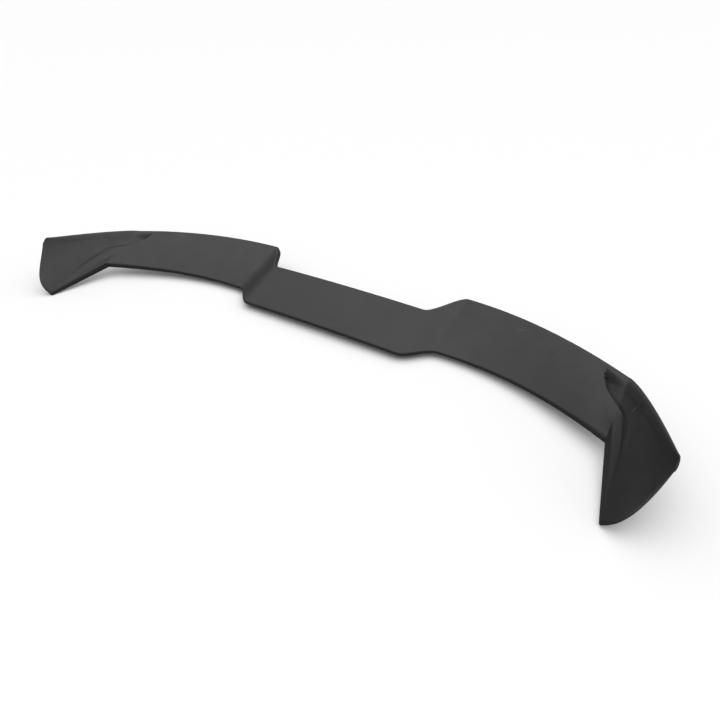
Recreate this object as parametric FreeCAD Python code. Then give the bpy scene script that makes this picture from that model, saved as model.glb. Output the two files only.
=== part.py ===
import FreeCAD, Part
import math
import os

# Rear spoiler cap: one formed sheet with a stepped centre panel, two swept wings and two end fins.
# X runs across the car, +Y towards the roof, +Z up. The sheet is drawn with the fin tips at
# Y = Z = 0, in the attitude that it has on the car, and then set over the origin.

DRIVING_SIZES = [
    ("sheet_wall", 3.5, "thickness of the formed sheet"),
    ("centre_half", 163, "half width of the centre panel, to the foot of the step"),
    ("wing_start", 48, "head of the step, where the wing starts, from the foot of the step"),
    ("wing_crest", 24, "where the wing's near edge is farthest from the tips, from the wing's start"),
    ("span_half", 574, "outer corner of the fin, from the middle"),
    ("tip_across", 53, "fin tip, in from the outer corner"),
    ("notch_across", 25, "notch in the near edge and kink in the far edge, in from the fin tip"),
    ("centre_near_depth", 167, "near edge of the centre panel, from the tips"),
    ("centre_near_height", 9, "the same edge, above the tips"),
    ("centre_far_depth", 264, "far edge of the centre panel"),
    ("centre_far_height", 46, "the same edge, above the tips"),
    ("centre_crown", 3.5, "rise of the centre panel in its middle"),
    ("wing_near_depth", 208, "near edge of the wing at its crest"),
    ("wing_near_height", 9, "the same edge, above the tips"),
    ("wing_far_depth", 328, "far edge of the wing at the step"),
    ("wing_far_height", 54, "the same edge, above the tips"),
    ("notch_depth", 117, "notch, from the tips"),
    ("notch_height", 26, "notch, above the tips"),
    ("kink_depth", 212, "kink, from the tips"),
    ("kink_height", 68, "kink, above the tips"),
    ("corner_depth", 54, "outer corner, from the tips"),
    ("corner_height", 89, "outer corner, above the tips"),
    ("corner_round", 9, "rounding of the outer corner"),
    ("end_belly", 8, "how far the end edge bulges past its even curve"),
    ("ridge_rise", 6, "height of the ridge between the wing and the fin's scoop"),
    ("ridge_run", 45, "how far in from the notch the ridge begins"),
    ("ridge_top", 8, "how far the ridge keeps its height to each side of the notch"),
    ("ridge_turn", 12, "how far beyond the notch the ridge turns to the tip"),
    ("scoop_sink", 7, "depth of the fin's scoop"),
    ("scoop_run", 35, "how far in from the notch the scoop begins"),
    ("wing_camber", 2, "rise of the wing between its edges"),
    ("camber_run", 60, "how far the camber takes to rise and to fall"),
    ("slant_run", 60, "how far in from the notch the walls begin to slant"),
    ("end_flat", 2, "how far the flat end stands in from the outer corner"),
    ("near_round", 2.5, "rounding along the near edge"),
    ("far_round", 6, "rounding along the far edge"),
    ("rim_centre", 6, "depth of the near rim at the centre panel"),
    ("rim_wing", 4.5, "depth of the near rim where the wing starts"),
    ("rim_notch", 11, "depth of the near rim at the notch"),
    ("rim_fin", 6, "depth of the rim round the fin"),
    ("rim_far", 13, "depth of the far rim"),
    ("rim_outer", 9, "depth of the far rim at the outer corner"),
]

doc = FreeCAD.newDocument("spoiler")
sheet = doc.addObject("Spreadsheet::Sheet", "sizes")
for row, (alias, value, meaning) in enumerate(DRIVING_SIZES, start=1):
    sheet.set(f"A{row}", meaning)
    sheet.set(f"B{row}", str(value))
    sheet.setAlias(f"B{row}", alias)
doc.recompute()


class Sizes:
    """The sheet's values by name."""

    def __getattr__(self, name):
        return float(getattr(sheet, name))


size = Sizes()

# Places across, each taken from the one that it follows

wing_start = size.centre_half + size.wing_start
wing_crest = wing_start + size.wing_crest
tip_across = size.span_half - size.tip_across
notch_across = tip_across - size.notch_across
end_across = size.span_half - size.end_flat

# Shares that give the curves their form

STEP_SOFTNESS = 1.15
WING_SWEEP = 0.5
FIN_SWEEP_POWER = 1.25
END_SLOPE = 0.6
END_RISE_POWER = 4
END_DEPTH_POWER = 3
CORNER_POWER = 6
RIDGE_WING_SHARE = 0.75
RIDGE_NOTCH_SHARE = 0.5
RIDGE_TIP_SHARE = 0.25
RIDGE_SOFTNESS = 0.1
EDGE_LEAD = 0.06
SCOOP_PULL = 1.2
BEND_SHARE = 0.3
CLOSED_CURL = 0.2
CLOSED_SHARE = 0.42
CLOSING_POWER = 4

# A wall is cut at a slant by a section, the more so the closer its edge runs to the section's plane

BLADE_SLANT = 1.2
CORNER_SLANT = 3
STRIP_SLANT = 4.5
FAR_FIN_SLANT = 2.3
END_SLANT = 1.8

# Counts of sections in each stretch

CENTRE_COUNT = 3
STEP_COUNT = 6
WING_COUNT = 8
STRIP_COUNT = 4
FIN_COUNT = 7

step_middle = size.centre_half + size.wing_start / 2
step_reach = size.wing_start / 2 * STEP_SOFTNESS


# Plain blending helpers

def mix(a, b, share):
    return a + (b - a) * share


def share_between(value, start, end):
    return min(max((value - start) / (end - start), 0.0), 1.0)


def smooth(share):
    return share * share * (3 - 2 * share)


def hump(value, start, top_start, top_end, end):
    """Rises smoothly from 0 to 1, stays there, and falls back to 0."""
    return smooth(share_between(value, start, top_start)) * (1 - smooth(share_between(value, top_end, end)))


# Edges of the sheet, each as (depth, height) over the distance across

def step_share(across):
    """0 on the centre panel and 1 on the wing, with a smooth step between."""
    return smooth(share_between(across, step_middle - step_reach, step_middle + step_reach))


def centre_crown(across):
    return size.centre_crown * (1 - share_between(across, 0, wing_start) ** 2)


def near_edge(across):
    """Near edge of the centre panel, the step and the wing, as far as the notch."""
    bend = ((across - wing_crest) / (notch_across - wing_crest)) ** 2
    wing_depth = mix(size.wing_near_depth, size.notch_depth, bend)
    wing_height = mix(size.wing_near_height, size.notch_height, bend)
    step = step_share(across)
    height = mix(size.centre_near_height, wing_height, step) + centre_crown(across) * (1 - step)
    return mix(size.centre_near_depth, wing_depth, step), height


def fin_inner_edge(across):
    """Straight inner edge of the fin, from the notch down to the tip."""
    share = share_between(across, notch_across, tip_across)
    return mix(size.notch_depth, 0, share), mix(size.notch_height, 0, share)


def fin_end_edge(across):
    """Bulging end edge of the fin, from the tip up to the outer corner."""
    share = share_between(across, tip_across, size.span_half)
    belly = size.end_belly * math.sin(math.pi * share) * (1 - share)
    rounding = size.corner_round * share ** CORNER_POWER
    rise = mix(share ** END_RISE_POWER, share, END_SLOPE)
    depth = size.corner_depth * share ** END_DEPTH_POWER - belly - rounding
    return depth, size.corner_height * rise - rounding


def far_edge(across):
    """Far edge of the centre panel, the step, the wing and the fin."""
    if across > notch_across:
        share = share_between(across, notch_across, size.span_half)
        rounding = size.corner_round / 2 * share ** CORNER_POWER
        depth = mix(size.kink_depth, size.corner_depth, share ** FIN_SWEEP_POWER) - rounding
        return depth, mix(size.kink_height, size.corner_height, share)
    share = share_between(across, wing_start, notch_across)
    wing_depth = mix(size.wing_far_depth, size.kink_depth, mix(share, share ** 2, WING_SWEEP))
    wing_height = mix(size.wing_far_height, size.kink_height, 1 - (1 - share) ** 2)
    step = step_share(across)
    height = mix(size.centre_far_height, wing_height, step) + centre_crown(across) * (1 - step)
    return mix(size.centre_far_depth, wing_depth, step), height


# Depth of the turned-down rim

def near_rim(across):
    if across < wing_start:
        return mix(size.rim_centre, size.rim_wing, step_share(across))
    if across < notch_across:
        return mix(size.rim_wing, size.rim_notch, share_between(across, wing_start, notch_across))
    return mix(size.rim_notch, size.rim_fin, share_between(across, notch_across, tip_across))


def far_rim(across):
    return mix(size.rim_far, size.rim_outer, smooth(share_between(across, wing_start, size.span_half)))


# Relief of the wing and the fin, over and under the straight chord of a section

def ridge_place(across):
    """Where the ridge crosses a section, as a share of its chord."""
    to_notch = smooth(share_between(across, notch_across - size.ridge_run, notch_across))
    to_tip = smooth(share_between(across, notch_across + size.ridge_turn, tip_across))
    return mix(mix(RIDGE_WING_SHARE, RIDGE_NOTCH_SHARE, to_notch), RIDGE_TIP_SHARE, to_tip)


def ridge_height(across):
    top_start = notch_across - size.ridge_top
    top_end = notch_across + size.ridge_top
    return size.ridge_rise * hump(across, notch_across - size.ridge_run, top_start, top_end, tip_across)


def scoop_depth(across):
    start = notch_across - size.scoop_run
    return size.scoop_sink * hump(across, start, notch_across, tip_across, size.span_half)


def camber(across):
    full_start = step_middle + size.camber_run
    full_end = notch_across - size.camber_run
    return size.wing_camber * hump(across, step_middle, full_start, full_end, notch_across)


def edge_point(edge, across):
    """A place on an edge; both halves of the sheet have the same edges."""
    depth, height = edge(abs(across))
    return FreeCAD.Vector(across, depth, height)


# Slant of the walls

def near_slant(across):
    if across < notch_across:
        run = share_between(across, notch_across - size.slant_run, notch_across)
        return mix(BLADE_SLANT, CORNER_SLANT, smooth(run))
    if across < tip_across:
        run = share_between(across, notch_across, tip_across)
        return mix(CORNER_SLANT, STRIP_SLANT, math.sin(math.pi * run))
    return mix(CORNER_SLANT, END_SLANT, share_between(across, tip_across, size.span_half))


def far_slant(across):
    rise = smooth(share_between(across, notch_across - size.slant_run, tip_across))
    fall = smooth(share_between(across, tip_across, size.span_half))
    return mix(mix(BLADE_SLANT, FAR_FIN_SLANT, rise), END_SLANT, fall)


class Section:
    """The plane of one section, with places given along and over its chord."""

    def __init__(self, near_edge, across):
        self.across = abs(across)
        self.near = edge_point(near_edge, across)
        self.chord = edge_point(far_edge, across) - self.near
        self.length = self.chord.Length
        self.chord.normalize()
        self.up = FreeCAD.Vector(1, 0, 0).cross(self.chord)

    def poles(self, *places):
        return [self.near + self.chord * along + self.up * over for along, over in places]

    def relief(self, start, end, sink):
        """Poles of the sheet's top or underside line between two places on the chord."""
        ridge = mix(start, end, ridge_place(self.across))
        rise = ridge_height(self.across)
        scoop = scoop_depth(self.across)
        arch = camber(self.across)
        soft = RIDGE_SOFTNESS * (end - start)
        lead = EDGE_LEAD * (end - start)
        places = [
            (start, 0),
            (start + lead, 0),
            (mix(start + lead, ridge - soft, 0.5), rise / 2 + arch),
            (ridge - soft, rise + arch),
            (ridge, rise + arch),
            (ridge + soft, rise / 2 - scoop / 2),
            (mix(ridge + soft, end - lead, 0.5), -scoop * SCOOP_PULL),
            (end - lead, 0),
            (end, 0),
        ]
        return self.poles(*[(along, over - sink) for along, over in places])


def sheet_section(near_edge, across):
    """Outline of the sheet: near bend, top, far bend, far rim, underside and near rim, each by its poles."""
    cut = Section(near_edge, across)
    length = cut.length
    wall = size.sheet_wall
    closing = share_between(cut.across, tip_across, size.span_half) ** CLOSING_POWER
    near_wall = mix(wall * near_slant(cut.across), CLOSED_SHARE * length, closing)
    far_wall = mix(wall * far_slant(cut.across), CLOSED_SHARE * length, closing)
    near_curl = mix(size.near_round * near_slant(cut.across), CLOSED_CURL * length, closing)
    far_curl = mix(size.far_round * far_slant(cut.across), CLOSED_CURL * length, closing)
    near_foot = -near_rim(cut.across)
    far_foot = -far_rim(cut.across)
    inside = length - far_wall
    bend = far_curl * BEND_SHARE, size.far_round * BEND_SHARE
    return [
        cut.poles((0, -size.near_round), (near_curl, 0)),
        cut.relief(near_curl, length - far_curl, 0),
        cut.poles((length - far_curl, 0), (length - bend[0], -bend[1])),
        cut.poles((length - bend[0], -bend[1]), (length, -size.far_round)),
        cut.poles((length, -size.far_round), (length, far_foot)),
        cut.poles((length, far_foot), (inside, far_foot)),
        cut.poles((inside, far_foot), (inside, -wall)),
        cut.relief(near_wall, inside, wall)[::-1],
        cut.poles((near_wall, -wall), (near_wall, near_foot)),
        cut.poles((near_wall, near_foot), (0, near_foot)),
        cut.poles((0, near_foot), (0, -size.near_round)),
    ]


def clamped_knots(pole_count, degree):
    """Even knots of a curve that starts at its first pole and ends at its last."""
    spans = pole_count - degree
    knots = [float(number) for number in range(spans + 1)]
    mults = [degree + 1] + [1] * (spans - 1) + [degree + 1]
    return knots, mults


def skin_face(rows, places):
    """A face through the same line of every section."""
    columns = []
    for line in zip(*rows):
        rail = Part.BSplineCurve()
        rail.interpolate(Points=list(line), Parameters=places)
        columns.append(rail)
    degree = min(len(columns) - 1, 3)
    knots, mults = clamped_knots(len(columns), degree)
    grid = [list(row) for row in zip(*[rail.getPoles() for rail in columns])]
    surface = Part.BSplineSurface()
    surface.buildFromPolesMultsKnots(
        grid, columns[0].getMultiplicities(), mults, columns[0].getKnots(), knots, False, False, 3, degree)
    return surface.toShape()


def skin(near_edge, places):
    """All faces of one stretch of the sheet."""
    sections = [sheet_section(near_edge, across) for across in places]
    return [skin_face(rows, places) for rows in zip(*sections)]


def end_face(near_edge, across):
    """Flat face that closes the sheet at its outer end."""
    edges = []
    for poles in sheet_section(near_edge, across):
        degree = min(len(poles) - 1, 3)
        knots, mults = clamped_knots(len(poles), degree)
        curve = Part.BSplineCurve()
        curve.buildFromPolesMultsKnots(poles, mults, knots, False, degree)
        edges.append(curve.toShape())
    return Part.Face(Part.Wire(edges))


def spread(start, end, count):
    return [mix(start, end, number / (count - 1)) for number in range(count)]


def blade_places():
    """Places across of the sections from the left notch to the right one."""
    centre = spread(0, step_middle - step_reach, CENTRE_COUNT)
    step = spread(step_middle - step_reach, step_middle + step_reach, STEP_COUNT)
    wing = spread(step_middle + step_reach, notch_across, WING_COUNT)
    half = centre + step[1:-1] + wing
    return [-across for across in reversed(half[1:])] + half


blade = doc.addObject("Part::Feature", "blade_skin")
blade.Shape = Part.makeShell(skin(near_edge, blade_places()))
strip = skin(fin_inner_edge, spread(notch_across, tip_across, STRIP_COUNT))
fin = skin(fin_end_edge, spread(tip_across, end_across, FIN_COUNT))
right_end = doc.addObject("Part::Feature", "right_end_skin")
right_end.Shape = Part.makeShell(strip + fin + [end_face(fin_end_edge, end_across)])
left_end = doc.addObject("Part::Mirroring", "left_end_skin")
left_end.Source = right_end
left_end.Normal = FreeCAD.Vector(1, 0, 0)
doc.recompute()

skins = [blade, right_end, left_end]
whole = Part.makeShell([face for skin_part in skins for face in skin_part.Shape.Faces])
whole.sewShape()
if not whole.isClosed():
    raise ValueError("the skins leave a gap")
cap = doc.addObject("Part::Feature", "spoiler_cap")
cap.Label = "spoiler_cap"
cap.Shape = Part.makeSolid(whole)
doc.recompute()

for item in doc.Objects:
    if "Invalid" in item.State or "Error" in item.State:
        raise ValueError(f"{item.Name} failed")
    if item.isDerivedFrom("Part::Feature") and (item.Shape.isNull() or not item.Shape.isValid()):
        raise ValueError(f"{item.Name} has no valid shape")

# The origin is under the middle of the sheet, level with its lowest point
box = cap.Shape.optimalBoundingBox(False, False)
offset = FreeCAD.Vector(0, -(box.YMin + box.YMax) / 2, -box.ZMin)
cap.Placement = FreeCAD.Placement(offset, FreeCAD.Rotation())

os.makedirs("parts", exist_ok=True)
cap.Shape.exportStep(f"parts/{cap.Label}.step")
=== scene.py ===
import math

import bpy
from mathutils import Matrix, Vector


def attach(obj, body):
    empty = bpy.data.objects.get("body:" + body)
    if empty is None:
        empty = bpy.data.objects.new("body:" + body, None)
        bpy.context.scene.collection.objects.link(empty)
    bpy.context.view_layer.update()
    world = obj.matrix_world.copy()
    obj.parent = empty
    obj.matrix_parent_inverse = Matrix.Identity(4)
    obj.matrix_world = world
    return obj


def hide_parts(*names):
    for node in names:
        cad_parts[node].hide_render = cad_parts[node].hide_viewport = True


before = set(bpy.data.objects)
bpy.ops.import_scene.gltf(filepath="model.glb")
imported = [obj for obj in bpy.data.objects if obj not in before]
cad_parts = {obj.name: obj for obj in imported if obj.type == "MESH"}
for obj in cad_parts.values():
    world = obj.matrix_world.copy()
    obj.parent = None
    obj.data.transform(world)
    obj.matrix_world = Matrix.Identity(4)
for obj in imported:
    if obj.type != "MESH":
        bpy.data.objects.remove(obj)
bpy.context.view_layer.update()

# Rear spoiler cap, drawn in millimetres with the fin tips at Y = Z = 0 and then set over the origin.

MM = 0.001

# Places across, from the middle

CENTRE_HALF = 163.0
WING_START = 211.0
WING_CREST = 235.0
NOTCH = 496.0
TIP = 521.0
SPAN_HALF = 574.0
END = 572.0

# Edges: depth and height of their corners, and how they turn

CENTRE_NEAR = (167.0, 9.0)
CENTRE_FAR = (264.0, 46.0)
WING_NEAR = (208.0, 9.0)
WING_FAR = (328.0, 54.0)
NOTCH_CORNER = (117.0, 26.0)
KINK = (212.0, 68.0)
OUTER_CORNER = (54.0, 89.0)
CENTRE_CROWN = 3.5
STEP_SOFTNESS = 1.15
WING_SWEEP = 0.5
FIN_SWEEP_POWER = 1.25
CORNER_ROUND = 9.0
CORNER_POWER = 6
END_BELLY = 8.0
END_SLOPE = 0.6
END_SWEEP_POWER = 3
END_RISE_POWER = 4
TIP_ROUND = 2.2
TIP_HEIGHT_ROUND = 0.88
TIP_BLEND = 6.0

# Sheet and rims, and how many times wider walls and rounds are along the chord where an edge slants

WALL = 3.5
NEAR_ROUND = 2.5
FAR_ROUND = 6.0
RIM_CENTRE = 6.0
RIM_WING = 4.5
RIM_NOTCH = 11.0
RIM_FIN = 6.0
RIM_FAR = 13.0
RIM_OUTER = 9.0
SLANT_BLADE = 1.2
SLANT_NOTCH = 3.0
SLANT_FIN_NEAR = 4.5
SLANT_FIN_FAR = 2.3
SLANT_OUTER = 1.8
SLANT_RUN = 60.0

# Closing of the sheet at its end: wall and curl as shares of the chord, the power, and the end's dome

CLOSED_WALL = 0.42
CLOSED_CURL = 0.2
CLOSING_POWER = 4
END_DOME = 2.0

# Camber of the wing, and the runs over which relief fades out at the edges

WING_CAMBER = 2.0
CAMBER_RUN = 60.0
NEAR_FADE = 22.0
FAR_FADE = 12.0

# Strip along the fin's far edge: place across and width at its two ends, and the sink of the face beside it

STRIP_AT_KINK = (470.0, 15.0)
STRIP_AT_CORNER = (560.0, 6.0)
STRIP_SINK = 0.8
STRIP_FADES = (462.0, 492.0, 545.0, SPAN_HALF)
STRIP_BEFORE = 3.0
STRIP_AFTER = 7.0
FACE_FADE = (30.0, 110.0)

# The lip between wing and fin: place seen from above, share of the scoop outside it, rise of the fin
# outside it and dip of the wing inside it

LIP = [
    (452.0, 240.0, 0.0, 0.0, 0.0),
    (458.0, 231.0, 0.15, 0.0, 0.0),
    (465.0, 220.0, 0.5, 0.0, 0.0),
    (470.0, 205.0, 0.9, 0.0, 0.0),
    (476.0, 193.0, 1.0, 0.0, 0.0),
    (485.0, 181.0, 1.0, 0.0, 0.5),
    (495.0, 168.0, 1.0, 0.0, 1.2),
    (503.0, 153.0, 1.0, 0.4, 1.4),
    (508.5, 139.0, 1.0, 1.2, 1.0),
    (512.5, 125.0, 1.0, 1.8, 0.6),
    (515.5, 109.5, 1.0, 2.0, 0.4),
    (518.0, 92.0, 1.0, 1.7, 0.3),
    (519.5, 73.5, 1.0, 1.3, 0.2),
    (520.5, 50.0, 1.0, 0.7, 0.1),
    (521.0, 20.0, 1.0, 0.0, 0.0),
]
LIP_MARGIN = 2.0
LIP_RUN = 2.6
SCOOP_SLOPE = 0.42
SCOOP_SOFTNESS = 6.0
RISE_RUN = 26.0
RISE_POWER = 1.4
DIP_RUN = 13.0
DIP_POWER = 1.6
FILLET_RUN = 26.0
FILLET_TURN = 0.5

# A small chevron dent in each fin

DENT = [((515.5, 150.0), (519.0, 156.5)), ((522.5, 150.0), (519.0, 156.5))]
DENT_DEPTH = 0.9
DENT_RUN = 1.5

# Points round a section, by stretch, and sections across: where each stretch ends and how many it has

TOP_POINTS = 140
BEND_POINTS = 7
WALL_POINTS = 3
UNDER_POINTS = 26
DOME_RINGS = 6
STATIONS = [(150.0, 8), (224.0, 30), (NOTCH - SLANT_RUN, 26), (NOTCH, 36), (TIP, 40), (END, 54)]
SHARP_ANGLE = 40

# Black plastic: colours, roughness and grain

COLOR_LOW = (0.013, 0.013, 0.0135, 1)
COLOR_HIGH = (0.018, 0.0178, 0.0175, 1)
NOISE_RANGE = (0.3, 0.7)
COLOR_NOISE = 14
ROUGHNESS_NOISE = 30
ROUGHNESS_RANGE = (0.4, 0.48)
SPECULAR_LEVEL = 0.5
GRAIN_NOISE = 1400
GRAIN_STRENGTH = 0.25
GRAIN_DISTANCE = 0.0002

# Marks of wear: place, half sizes, strength and colour

SCUFF = (0.06, 0.06, 0.058, 1)
STAIN = (0.004, 0.004, 0.004, 1)
MARKS = [
    ((25.5, 186.1, 19.6), (9, 5, 30), 1.0, STAIN),
    ((385.5, 239.7, 50.9), (9, 6, 30), 0.8, STAIN),
    ((421.5, 220.3, 51.2), (16, 5, 30), 0.8, STAIN),
    ((327.4, 274.2, 52.6), (12, 3, 30), 0.45, SCUFF),
    ((-404.0, 249.6, 59.6), (18, 7, 30), 0.2, SCUFF),
]
MARK_NOISE = 260
MARK_CORE = 0.3
MARK_RAGGED = (0.35, 0.6)

# Floor, light and camera, in metres and degrees

FLOOR_SIZE = 90
FLOOR_HEIGHT = -0.0005
FLOOR_COLOR = (0.92, 0.92, 0.92, 1)
FLOOR_REFLECTED = (0.2, 0.2, 0.2, 1)
FLOOR_ROUGHNESS = 0.9
FLOOR_SPECULAR = 0.1
SKY_TOWARD = (0.08, 0.0, 0.97)
SKY_DARK_UP_TO = 0.12
SKY_DARK = (0.05, 0.052, 0.06, 1)
SKY_WHITE_FROM = 0.8
SKY_STRENGTH = 1.25
WHITE = (1, 1, 1, 1)
KEY_TOWARD = (0.05, 0, 1)
KEY_SPREAD = 80
KEY_STRENGTH = 0.5
KEY_COLOR = (1, 0.99, 0.97)
CAMERA_PLACE = (0.51888, -0.66486, 0.51445)
CAMERA_TILT = 55.8
CAMERA_TURN = 32.547
LENS = 28.0
SENSOR = 36.0


def mix(a, b, share):
    return a + (b - a) * share


def mix_pair(a, b, share):
    return mix(a[0], b[0], share), mix(a[1], b[1], share)


def share_between(value, start, end):
    return min(max((value - start) / (end - start), 0.0), 1.0)


def smooth(share):
    return share * share * (3 - 2 * share)


def hump(value, start, top_start, top_end, end):
    return smooth(share_between(value, start, top_start)) * (1 - smooth(share_between(value, top_end, end)))


def soft_max(a, b, softness):
    """The larger of two values, with a rounded change from one to the other."""
    top = max(a, b)
    return top + softness * math.log(math.exp((a - top) / softness) + math.exp((b - top) / softness))


# Edges of the sheet

def step_share(across):
    middle = (CENTRE_HALF + WING_START) / 2
    reach = (WING_START - CENTRE_HALF) / 2 * STEP_SOFTNESS
    return smooth(share_between(across, middle - reach, middle + reach))


def crown(across):
    return CENTRE_CROWN * (1 - share_between(across, 0, WING_START) ** 2)


def blade_near(across):
    bow = ((across - WING_CREST) / (NOTCH - WING_CREST)) ** 2
    step = step_share(across)
    depth, height = mix_pair(CENTRE_NEAR, mix_pair(WING_NEAR, NOTCH_CORNER, bow), step)
    return depth, height + crown(across) * (1 - step)


def fin_inner(across):
    share = (across - NOTCH) / (TIP - NOTCH)
    return mix_pair(NOTCH_CORNER, (0.0, 0.0), share)


def fin_end(across):
    share = min((across - TIP) / (SPAN_HALF - TIP), 1.0)
    if share < 0:
        return -END_BELLY * math.pi * share, OUTER_CORNER[1] * END_SLOPE * share
    belly = END_BELLY * math.sin(math.pi * share) * (1 - share)
    rounding = CORNER_ROUND * share ** CORNER_POWER
    rise = mix(share ** END_RISE_POWER, share, END_SLOPE)
    depth = OUTER_CORNER[0] * share ** END_SWEEP_POWER - belly - rounding
    return depth, OUTER_CORNER[1] * rise - rounding


def near_edge(across):
    if across <= NOTCH:
        return blade_near(across)
    inner = fin_inner(across)
    end = fin_end(across)
    depth = soft_max(inner[0], end[0], TIP_ROUND)
    if across > TIP - TIP_BLEND:
        return depth, soft_max(inner[1], end[1], TIP_HEIGHT_ROUND)
    return depth, inner[1]


def far_edge(across):
    if across > NOTCH:
        share = share_between(across, NOTCH, SPAN_HALF)
        rounding = CORNER_ROUND / 2 * share ** CORNER_POWER
        depth = mix(KINK[0], OUTER_CORNER[0], share ** FIN_SWEEP_POWER) - rounding
        return depth, mix(KINK[1], OUTER_CORNER[1], share)
    share = share_between(across, WING_START, NOTCH)
    wing_depth = mix(WING_FAR[0], KINK[0], mix(share, share ** 2, WING_SWEEP))
    wing_height = mix(WING_FAR[1], KINK[1], 1 - (1 - share) ** 2)
    step = step_share(across)
    height = mix(CENTRE_FAR[1], wing_height, step) + crown(across) * (1 - step)
    return mix(CENTRE_FAR[0], wing_depth, step), height


# Rims and walls

def near_rim(across):
    if across < WING_START:
        return mix(RIM_CENTRE, RIM_WING, step_share(across))
    if across < NOTCH:
        return mix(RIM_WING, RIM_NOTCH, share_between(across, WING_START, NOTCH))
    return mix(RIM_NOTCH, RIM_FIN, share_between(across, NOTCH, TIP))


def far_rim(across):
    return mix(RIM_FAR, RIM_OUTER, smooth(share_between(across, WING_START, SPAN_HALF)))


def near_slant(across):
    if across < NOTCH:
        return mix(SLANT_BLADE, SLANT_NOTCH, smooth(share_between(across, NOTCH - SLANT_RUN, NOTCH)))
    if across < TIP:
        return mix(SLANT_NOTCH, SLANT_FIN_NEAR, math.sin(math.pi * share_between(across, NOTCH, TIP)))
    return mix(SLANT_NOTCH, SLANT_OUTER, share_between(across, TIP, SPAN_HALF))


def far_slant(across):
    rise = smooth(share_between(across, NOTCH - SLANT_RUN, TIP))
    fall = smooth(share_between(across, TIP, SPAN_HALF))
    return mix(mix(SLANT_BLADE, SLANT_FIN_FAR, rise), SLANT_OUTER, fall)


# Relief of the wing and the fin, over and under the chord

def nearest_on(start, end, across, depth):
    """Seen from above: share along a line closest to a place, the vector from there, and the line's run."""
    run = end[0] - start[0], end[1] - start[1]
    share = ((across - start[0]) * run[0] + (depth - start[1]) * run[1]) / (run[0] ** 2 + run[1] ** 2)
    share = min(max(share, 0.0), 1.0)
    return share, (across - start[0] - run[0] * share, depth - start[1] - run[1] * share), run


def lip_drop(across, depth):
    """Outside the lip the fin's slope is carried on past the notch. Lower down the fin rises from it."""
    best = None
    for start, end in zip(LIP, LIP[1:]):
        share, off, run = nearest_on(start, end, across, depth)
        reach = math.hypot(off[0], off[1])
        if best is None or reach < best[0]:
            side = run[0] * off[1] - run[1] * off[0]
            best = reach, side, [mix(a, b, share) for a, b in zip(start[2:], end[2:])]
    reach, side, (scoop_share, rise, dip) = best
    beside = 1 - smooth(share_between(reach, 0, LIP_RUN))
    scoop = scoop_share * SCOOP_SLOPE * soft_max(NOTCH - across, 0.0, SCOOP_SOFTNESS)
    if side < 0:
        return (scoop - rise) * beside + dip * (1 - share_between(reach, 0, DIP_RUN)) ** DIP_POWER
    return scoop - rise * (1 - share_between(reach, 0, RISE_RUN)) ** RISE_POWER + dip * beside


def notch_fillet(across, share):
    """Rounds the fold that runs over the chords from the notch to the kink."""
    left = max(FILLET_RUN - abs(across - NOTCH), 0.0)
    return FILLET_TURN * (1 - share) * left ** 2 / (4 * FILLET_RUN)


def dent_relief(across, depth):
    reach = min(math.hypot(*nearest_on(start, end, across, depth)[1]) for start, end in DENT)
    return -DENT_DEPTH * math.exp(-((reach / DENT_RUN) ** 2))


def strip_relief(across, left):
    """The fin's face lies lower than the strip along its far edge."""
    share = share_between(across, STRIP_AT_KINK[0], STRIP_AT_CORNER[0])
    width = mix(STRIP_AT_KINK[1], STRIP_AT_CORNER[1], share)
    sink = STRIP_SINK * hump(across, *STRIP_FADES)
    beyond = smooth(share_between(left, width - STRIP_BEFORE, width + STRIP_AFTER))
    return -sink * beyond * (1 - smooth(share_between(left, *FACE_FADE)))


def relief(across, start, end, count, near, chord):
    """Places along and over the chord between two places on it."""
    middle = (CENTRE_HALF + WING_START) / 2
    arch = WING_CAMBER * hump(across, middle, middle + CAMBER_RUN, NOTCH - CAMBER_RUN, NOTCH)
    places = []
    for number in range(count + 1):
        share = number / count
        along = mix(start, end, share)
        lift = arch * math.sin(math.pi * share)
        if across > LIP[0][0] - LIP_MARGIN:
            depth = near[0] + chord[0] * along
            local = notch_fillet(across, share) - lip_drop(across, depth) + dent_relief(across, depth)
            local += strip_relief(across, end - along)
            near_fade = smooth(share_between(along - start, 0, NEAR_FADE))
            far_fade = smooth(share_between(end - along, 0, FAR_FADE))
            lift += local * near_fade * far_fade
        places.append((along + lift * chord[1], lift * chord[0]))
    return places


# The sheet, section by section

def line(start, end, count):
    return [mix_pair(start, end, number / count) for number in range(1, count + 1)]


def bend(centre, reach, turn_start, turn_end):
    places = []
    for number in range(1, BEND_POINTS + 1):
        turn = mix(turn_start, turn_end, number / BEND_POINTS)
        places.append((centre[0] + reach[0] * math.cos(turn), centre[1] + reach[1] * math.sin(turn)))
    return places


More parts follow.
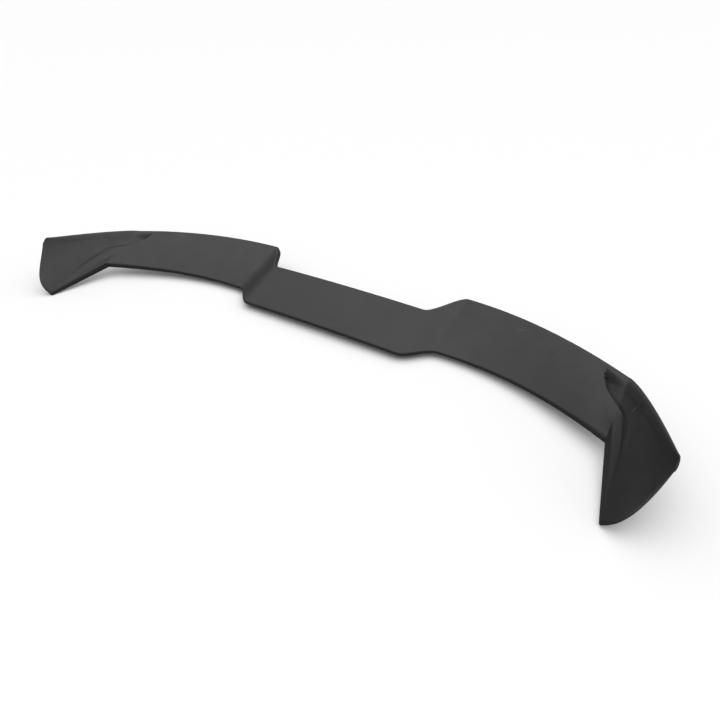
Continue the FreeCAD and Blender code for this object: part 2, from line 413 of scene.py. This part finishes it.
def section(across):
    """Points round the sheet at one place across, as depth and height."""
    near = near_edge(across)
    far = far_edge(across)
    length = math.hypot(far[0] - near[0], far[1] - near[1])
    chord = (far[0] - near[0]) / length, (far[1] - near[1]) / length
    closing = share_between(across, TIP, SPAN_HALF) ** CLOSING_POWER
    near_wall = mix(WALL * near_slant(across), CLOSED_WALL * length, closing)
    far_wall = mix(WALL * far_slant(across), CLOSED_WALL * length, closing)
    near_curl = mix(NEAR_ROUND * near_slant(across), CLOSED_CURL * length, closing)
    far_curl = mix(FAR_ROUND * far_slant(across), CLOSED_CURL * length, closing)
    near_foot = -near_rim(across)
    far_foot = -far_rim(across)
    inside = length - far_wall
    quarter = math.pi / 2
    under_line = relief(across, near_wall, inside, UNDER_POINTS, near, chord)
    under = [(along, over - WALL) for along, over in under_line]
    places = bend((near_curl, -NEAR_ROUND), (near_curl, NEAR_ROUND), 2 * quarter, quarter)
    places += relief(across, near_curl, length - far_curl, TOP_POINTS, near, chord)[1:]
    places += bend((length - far_curl, -FAR_ROUND), (far_curl, FAR_ROUND), quarter, 0)
    places += line((length, -FAR_ROUND), (length, far_foot), WALL_POINTS)
    places += line((length, far_foot), (inside, far_foot), WALL_POINTS)
    places += line((inside, far_foot), (inside, -WALL), WALL_POINTS)
    places += under[::-1][1:]
    places += line((near_wall, -WALL), (near_wall, near_foot), WALL_POINTS)
    places += line((near_wall, near_foot), (0.0, near_foot), WALL_POINTS)
    places += line((0.0, near_foot), (0.0, -NEAR_ROUND), WALL_POINTS)
    return [
        (near[0] + chord[0] * along - chord[1] * over, near[1] + chord[1] * along + chord[0] * over)
        for along, over in places
    ]


def half_places():
    """Places across of the right half, closer together where the edges turn."""
    places = [0.0]
    for end, count in STATIONS:
        start = places[-1]
        places += [mix(start, end, number / count) for number in range(1, count + 1)]
    return places


def ring_at(across):
    return [Vector((across, depth, height)) for depth, height in section(across)]


def sheet_rings():
    """Rings of points of the right half, with a domed end."""
    rings = [ring_at(across) for across in half_places()]
    last = rings[-1]
    middle = sum(last, Vector()) / len(last)
    for number in range(1, DOME_RINGS + 1):
        turn = math.pi / 2 * number / (DOME_RINGS + 1)
        out = Vector((END_DOME * math.sin(turn), 0, 0))
        rings.append([middle + (point - middle) * math.cos(turn) + out for point in last])
    return rings


def build_sheet():
    """The whole sheet, and the shift from the drawing to its place over the origin."""
    right = sheet_rings()
    left = [[Vector((-point.x, point.y, point.z)) for point in ring] for ring in reversed(right[1:])]
    rings = left + right
    around = len(rings[0])
    points = [point for ring in rings for point in ring]
    faces = []
    for number in range(len(rings) - 1):
        for place in range(around):
            after = (place + 1) % around
            base = number * around
            faces.append((base + place, base + after, base + around + after, base + around + place))
    faces.append(tuple(range(around))[::-1])
    faces.append(tuple((len(rings) - 1) * around + place for place in range(around)))
    low = Vector([min(point[axis] for point in points) for axis in range(3)])
    high = Vector([max(point[axis] for point in points) for axis in range(3)])
    shift = Vector((0, (low.y + high.y) / 2, low.z))
    mesh = bpy.data.meshes.new("spoiler_sheet")
    mesh.from_pydata([(point - shift) * MM for point in points], [], faces)
    mesh.update()
    mesh.shade_smooth()
    mesh.set_sharp_from_angle(angle=math.radians(SHARP_ANGLE))
    sheet = bpy.data.objects.new("spoiler_sheet", mesh)
    bpy.context.collection.objects.link(sheet)
    return sheet, shift


sheet, sheet_shift = build_sheet()


# Material: black moulded plastic with a fine grain and a few marks of wear

def new_material(name):
    material = bpy.data.materials.new(name)
    material.use_nodes = True
    return material, material.node_tree.nodes, material.node_tree.links


plastic, nodes, links = new_material("black_plastic")
shader = nodes["Principled BSDF"]
shader.inputs["Specular IOR Level"].default_value = SPECULAR_LEVEL
coordinates = nodes.new("ShaderNodeTexCoord")


def noise(scale, detail):
    texture = nodes.new("ShaderNodeTexNoise")
    texture.inputs["Scale"].default_value = scale
    texture.inputs["Detail"].default_value = detail
    links.new(coordinates.outputs["Object"], texture.inputs["Vector"])
    return texture.outputs["Fac"]


def remap(value, from_range, to_range):
    node = nodes.new("ShaderNodeMapRange")
    node.inputs["From Min"].default_value = from_range[0]
    node.inputs["From Max"].default_value = from_range[1]
    node.inputs["To Min"].default_value = to_range[0]
    node.inputs["To Max"].default_value = to_range[1]
    links.new(value, node.inputs["Value"])
    return node.outputs["Result"]


def vector_math(operation, source, values):
    node = nodes.new("ShaderNodeVectorMath")
    node.operation = operation
    links.new(source, node.inputs[0])
    node.inputs[1].default_value = values
    return node.outputs


def marked(color, place, reach, strength, mark_color):
    """The colour with a ragged mark worked in, placed and sized in the drawing's millimetres."""
    offset = vector_math("SUBTRACT", coordinates.outputs["Object"], (Vector(place) - sheet_shift) * MM)
    scaled = vector_math("DIVIDE", offset["Vector"], Vector(reach) * MM)
    distance = vector_math("LENGTH", scaled["Vector"], (0, 0, 0))
    inside = remap(distance["Value"], (MARK_CORE, 1.0), (strength, 0.0))
    ragged = nodes.new("ShaderNodeMath")
    ragged.operation = "MULTIPLY"
    links.new(inside, ragged.inputs[0])
    links.new(remap(noise(MARK_NOISE, 3), MARK_RAGGED, (0.0, 1.0)), ragged.inputs[1])
    blend = nodes.new("ShaderNodeMix")
    blend.data_type = "RGBA"
    links.new(ragged.outputs["Value"], blend.inputs["Factor"])
    links.new(color, blend.inputs["A"])
    blend.inputs["B"].default_value = mark_color
    return blend.outputs["Result"]


ramp = nodes.new("ShaderNodeValToRGB")
for element, position, tone in zip(ramp.color_ramp.elements, NOISE_RANGE, (COLOR_LOW, COLOR_HIGH)):
    element.position = position
    element.color = tone
links.new(noise(COLOR_NOISE, 4), ramp.inputs["Fac"])
color = ramp.outputs["Color"]
for place, reach, strength, mark_color in MARKS:
    color = marked(color, place, reach, strength, mark_color)
links.new(color, shader.inputs["Base Color"])
links.new(remap(noise(ROUGHNESS_NOISE, 3), NOISE_RANGE, ROUGHNESS_RANGE), shader.inputs["Roughness"])
grain = nodes.new("ShaderNodeBump")
grain.inputs["Strength"].default_value = GRAIN_STRENGTH
grain.inputs["Distance"].default_value = GRAIN_DISTANCE
links.new(noise(GRAIN_NOISE, 2), grain.inputs["Height"])
links.new(grain.outputs["Normal"], shader.inputs["Normal"])
sheet.data.materials.append(plastic)

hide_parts("spoiler_cap")
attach(sheet, "root")

# Floor: pale, and darker where the sheet's gloss mirrors it

bpy.ops.mesh.primitive_plane_add(size=FLOOR_SIZE, location=(0, 0, FLOOR_HEIGHT))
floor = bpy.context.object
floor.name = "floor"
floor_material, floor_nodes, floor_links = new_material("pale_floor")
floor_shader = floor_nodes["Principled BSDF"]
floor_path = floor_nodes.new("ShaderNodeLightPath")
floor_color = floor_nodes.new("ShaderNodeMix")
floor_color.data_type = "RGBA"
floor_color.inputs["A"].default_value = FLOOR_COLOR
floor_color.inputs["B"].default_value = FLOOR_REFLECTED
floor_links.new(floor_path.outputs["Is Glossy Ray"], floor_color.inputs["Factor"])
floor_links.new(floor_color.outputs["Result"], floor_shader.inputs["Base Color"])
floor_shader.inputs["Roughness"].default_value = FLOOR_ROUGHNESS
floor_shader.inputs["Specular IOR Level"].default_value = FLOOR_SPECULAR
floor.data.materials.append(floor_material)

# Light: a soft key and a sky, bright overhead, dark near the horizon and white where the camera sees it

world = bpy.data.worlds.new("studio")
bpy.context.scene.world = world
world.use_nodes = True
sky_nodes = world.node_tree.nodes
sky_links = world.node_tree.links
sky = sky_nodes["Background"]
direction = sky_nodes.new("ShaderNodeTexCoord")
upward = sky_nodes.new("ShaderNodeVectorMath")
upward.operation = "DOT_PRODUCT"
upward.inputs[1].default_value = SKY_TOWARD
sky_links.new(direction.outputs["Generated"], upward.inputs[0])
sky_ramp = sky_nodes.new("ShaderNodeValToRGB")
sky_ramp.color_ramp.elements[0].position = SKY_DARK_UP_TO
sky_ramp.color_ramp.elements[0].color = SKY_DARK
sky_ramp.color_ramp.elements[1].position = SKY_WHITE_FROM
sky_ramp.color_ramp.elements[1].color = WHITE
sky_links.new(upward.outputs["Value"], sky_ramp.inputs["Fac"])
sky_links.new(sky_ramp.outputs["Color"], sky.inputs["Color"])
sky.inputs["Strength"].default_value = SKY_STRENGTH
backdrop = sky_nodes.new("ShaderNodeBackground")
backdrop.inputs["Color"].default_value = WHITE
sky_path = sky_nodes.new("ShaderNodeLightPath")
sky_mix = sky_nodes.new("ShaderNodeMixShader")
sky_links.new(sky_path.outputs["Is Camera Ray"], sky_mix.inputs["Fac"])
sky_links.new(sky.outputs["Background"], sky_mix.inputs[1])
sky_links.new(backdrop.outputs["Background"], sky_mix.inputs[2])
sky_links.new(sky_mix.outputs["Shader"], sky_nodes["World Output"].inputs["Surface"])

key_light = bpy.data.lights.new("key", "SUN")
key_light.angle = math.radians(KEY_SPREAD)
key_light.energy = KEY_STRENGTH
key_light.color = KEY_COLOR
key = bpy.data.objects.new("key", key_light)
key.rotation_euler = (-Vector(KEY_TOWARD)).to_track_quat("-Z", "Y").to_euler()
bpy.context.collection.objects.link(key)

# Camera at the photograph's angle

lens = bpy.data.cameras.new("camera")
lens.lens = LENS
lens.sensor_width = SENSOR
camera = bpy.data.objects.new("camera", lens)
camera.location = CAMERA_PLACE
camera.rotation_euler = (math.radians(CAMERA_TILT), 0, math.radians(CAMERA_TURN))
bpy.context.collection.objects.link(camera)
bpy.context.scene.camera = camera
bpy.context.scene.view_settings.view_transform = "Standard"
